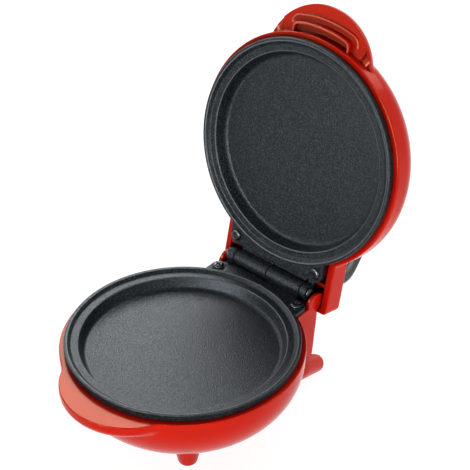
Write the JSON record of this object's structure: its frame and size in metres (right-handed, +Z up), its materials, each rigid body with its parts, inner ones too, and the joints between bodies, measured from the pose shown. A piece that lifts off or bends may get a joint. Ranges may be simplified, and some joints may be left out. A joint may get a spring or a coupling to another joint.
{
  "type": "mini griddle",
  "caption": "Round hand-sized electric griddle: a bowl-shaped base and a domed lid on a rear hinge pin, each with a shallow smooth cooking dish.",
  "frame": {"origin": "on the table, under the middle of the appliance's box without its cord, lid open as stored", "axes": "+Z up, +Y to the hinge at the back, -Y to the handles, +X to the right"},
  "size_m": [0.1989, 0.3055, 0.1962],
  "materials": {
    "base_shell": "gloss red",
    "lower_plate": "matt black non-stick coating on cast aluminium",
    "lower_heating_element": "heat-browned steel sheath",
    "lower_reflector": "bright sheet",
    "lower_reflector_screw": "plated steel",
    "lower_plate_screw_left": "blackened steel",
    "lower_plate_screw_right": "blackened steel",
    "hinge_pin": "blackened steel",
    "hinge_clip": "plated steel",
    "front_foot_left": "gloss red",
    "front_foot_right": "gloss red",
    "rear_foot_left": "gloss red",
    "rear_foot_right": "gloss red",
    "thermostat": "pale ceramic",
    "thermostat_bracket": "plated steel",
    "bracket_screw_left": "plated steel",
    "bracket_screw_right": "plated steel",
    "thermal_fuse": "pale ceramic",
    "terminal_block": "pale ceramic",
    "lead_live": "silicone sleeve",
    "lead_switched": "silicone sleeve",
    "lead_fused": "silicone sleeve",
    "lead_neutral": "silicone sleeve",
    "cord_inner_end": "matt black PVC",
    "strain_relief": "matt black PVC",
    "cord_lead": "matt black PVC",
    "cord_coil": "matt black PVC",
    "cord_tail": "matt black PVC",
    "cord_tie": "matt black PVC",
    "plug_body": "matt black PVC",
    "plug_blade_left": "plain",
    "plug_blade_right": "plain",
    "lid_shell": "gloss red",
    "upper_plate": "matt black non-stick coating on cast aluminium",
    "upper_heating_element": "heat-browned steel sheath",
    "upper_reflector": "bright sheet",
    "upper_reflector_screw": "plated steel",
    "upper_plate_screw_left": "blackened steel",
    "upper_plate_screw_right": "blackened steel",
    "indicator_lens": "amber",
    "indicator_lamp": "amber",
    "lamp_lead_live": "silicone sleeve",
    "lamp_lead_neutral": "silicone sleeve"
  },
  "bodies": {
    "base": {"base_shell": "base_shell", "lower_plate": "lower_plate", "lower_heating_element": "lower_heating_element", "lower_reflector": "lower_reflector", "lower_reflector_screw": "lower_reflector_screw", "lower_plate_screw_left": "lower_plate_screw_left", "lower_plate_screw_right": "lower_plate_screw_right", "hinge_pin": "hinge_pin", "hinge_clip": "hinge_clip", "front_foot_left": "front_foot_left", "front_foot_right": "front_foot_right", "rear_foot_left": "rear_foot_left", "rear_foot_right": "rear_foot_right", "thermostat": "thermostat", "thermostat_bracket": "thermostat_bracket", "bracket_screw_left": "bracket_screw_left", "bracket_screw_right": "bracket_screw_right", "thermal_fuse": "thermal_fuse", "terminal_block": "terminal_block", "lead_live": "lead_live", "lead_switched": "lead_switched", "lead_fused": "lead_fused", "lead_neutral": "lead_neutral", "cord_inner_end": "cord_inner_end", "strain_relief": "strain_relief", "cord_lead": "cord_lead", "cord_coil": "cord_coil", "cord_tail": "cord_tail", "cord_tie": "cord_tie", "plug_body": "plug_body", "plug_blade_left": "plug_blade_left", "plug_blade_right": "plug_blade_right"},
    "lid": {"lid_shell": "lid_shell", "upper_plate": "upper_plate", "upper_heating_element": "upper_heating_element", "upper_reflector": "upper_reflector", "upper_reflector_screw": "upper_reflector_screw", "upper_plate_screw_left": "upper_plate_screw_left", "upper_plate_screw_right": "upper_plate_screw_right", "indicator_lens": "indicator_lens", "indicator_lamp": "indicator_lamp", "lamp_lead_live": "lamp_lead_live", "lamp_lead_neutral": "lamp_lead_neutral"}
  },
  "joints": [
    {"name": "lid_hinge", "type": "hinge", "parent": "base", "child": "lid", "pos_m": [0, 0.04328, 0.0547], "axis": [1, 0, 0], "range_deg": [0, 103.8]}
  ]
}
